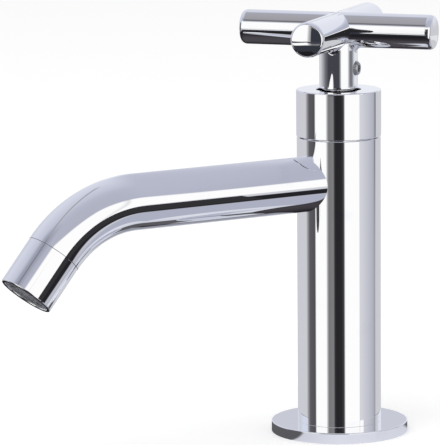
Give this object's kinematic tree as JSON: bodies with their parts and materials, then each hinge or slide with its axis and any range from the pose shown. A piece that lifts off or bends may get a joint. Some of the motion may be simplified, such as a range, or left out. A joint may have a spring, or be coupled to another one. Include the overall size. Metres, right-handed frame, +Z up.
{
  "type": "pillar tap",
  "caption": "Deck-mounted pillar tap in polished chrome: round upright body on a thin round flange, round spout bent down at its end, and a four-armed cross handle.",
  "frame": {"origin": "centre of the base flange's underside, on the column's axis and on top of the deck", "axes": "+Z up along the column's axis, -Y the way the spout points, +X to the right of someone who looks at the tap from behind the spout's outlet"},
  "size_m": [0.0634, 0.167, 0.1976],
  "materials": {
    "chrome": "mirror-polished chrome plate on brass",
    "brass": "machined",
    "steel": "stainless, turned or pressed",
    "rubber": "moulded",
    "grey_plastic": "moulded acetal",
    "white_plastic": "moulded acetal",
    "ceramic": "lapped alumina"
  },
  "bodies": {
    "tap_body": {"body_column": "chrome", "base_flange": "chrome", "deck_gasket": "rubber", "threaded_shank": "brass", "shank_washer": "rubber", "clamp_washer": "steel", "back_nut": "brass", "spout_tube": "chrome", "spout_nozzle": "chrome", "aerator_washer": "rubber", "aerator_plate": "white_plastic", "aerator_screen": "steel", "aerator_cage": "grey_plastic", "cap_shroud": "chrome", "valve_gasket": "rubber", "valve_housing": "brass", "seat_seal": "rubber", "fixed_disc": "ceramic"},
    "handle": {"cross_handle": "chrome", "spline_bush": "white_plastic", "grub_screw": "steel", "spindle": "brass", "spindle_ring_lower": "rubber", "spindle_ring_upper": "rubber", "thrust_washer": "white_plastic", "circlip": "steel", "moving_disc": "ceramic"}
  },
  "joints": [
    {"name": "handle_turn", "type": "hinge", "parent": "tap_body", "child": "handle", "pos_m": [0, 0, 0.1], "axis": [0, 0, 1], "range_deg": [0, 90]}
  ]
}
